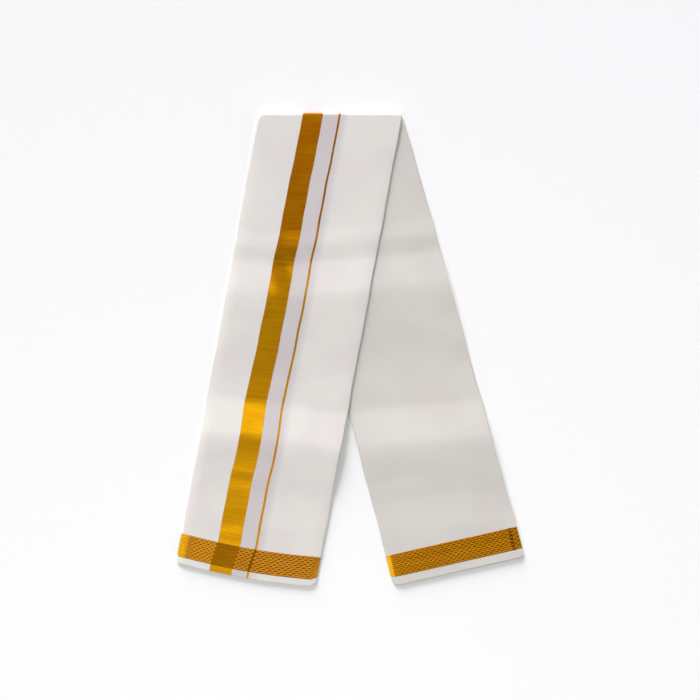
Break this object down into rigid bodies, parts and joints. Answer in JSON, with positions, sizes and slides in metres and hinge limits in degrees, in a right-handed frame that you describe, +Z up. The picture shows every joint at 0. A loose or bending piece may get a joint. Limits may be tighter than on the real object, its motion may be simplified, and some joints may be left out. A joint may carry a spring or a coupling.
{
  "type": "folded angavastram",
  "caption": "Long cotton shoulder cloth with a gold zari border and end bands, folded to a strip and laid over once as an inverted V.",
  "frame": {"origin": "centre of the bounding box on the surface that the cloth lies on", "axes": "+Z up from the table, +Y towards the bend, +X to the right as the cloth is seen from above"},
  "size_m": [0.7059, 0.9597, 0.0128],
  "materials": {
    "cotton": "plain woven cotton, matt, unbleached off-white",
    "lilac_white": "plain woven cotton with a faint lilac-grey cast",
    "zari": "gold zari thread, ribbed, with a metallic sheen"
  },
  "bodies": {
    "root": {"front_ground_left": "cotton", "front_zari_border": "zari", "front_white_stripe": "lilac_white", "front_zari_line": "zari", "front_ground_right": "cotton", "front_end_band": "zari", "front_margin_left": "cotton", "front_margin_zari": "zari", "front_margin_mid": "lilac_white", "front_margin_line": "zari", "front_margin_right": "cotton", "front_inner_layers": "cotton", "back_ground": "cotton", "back_end_band": "zari", "back_margin": "cotton", "back_inner_layers": "cotton"}
  },
  "joints": []
}
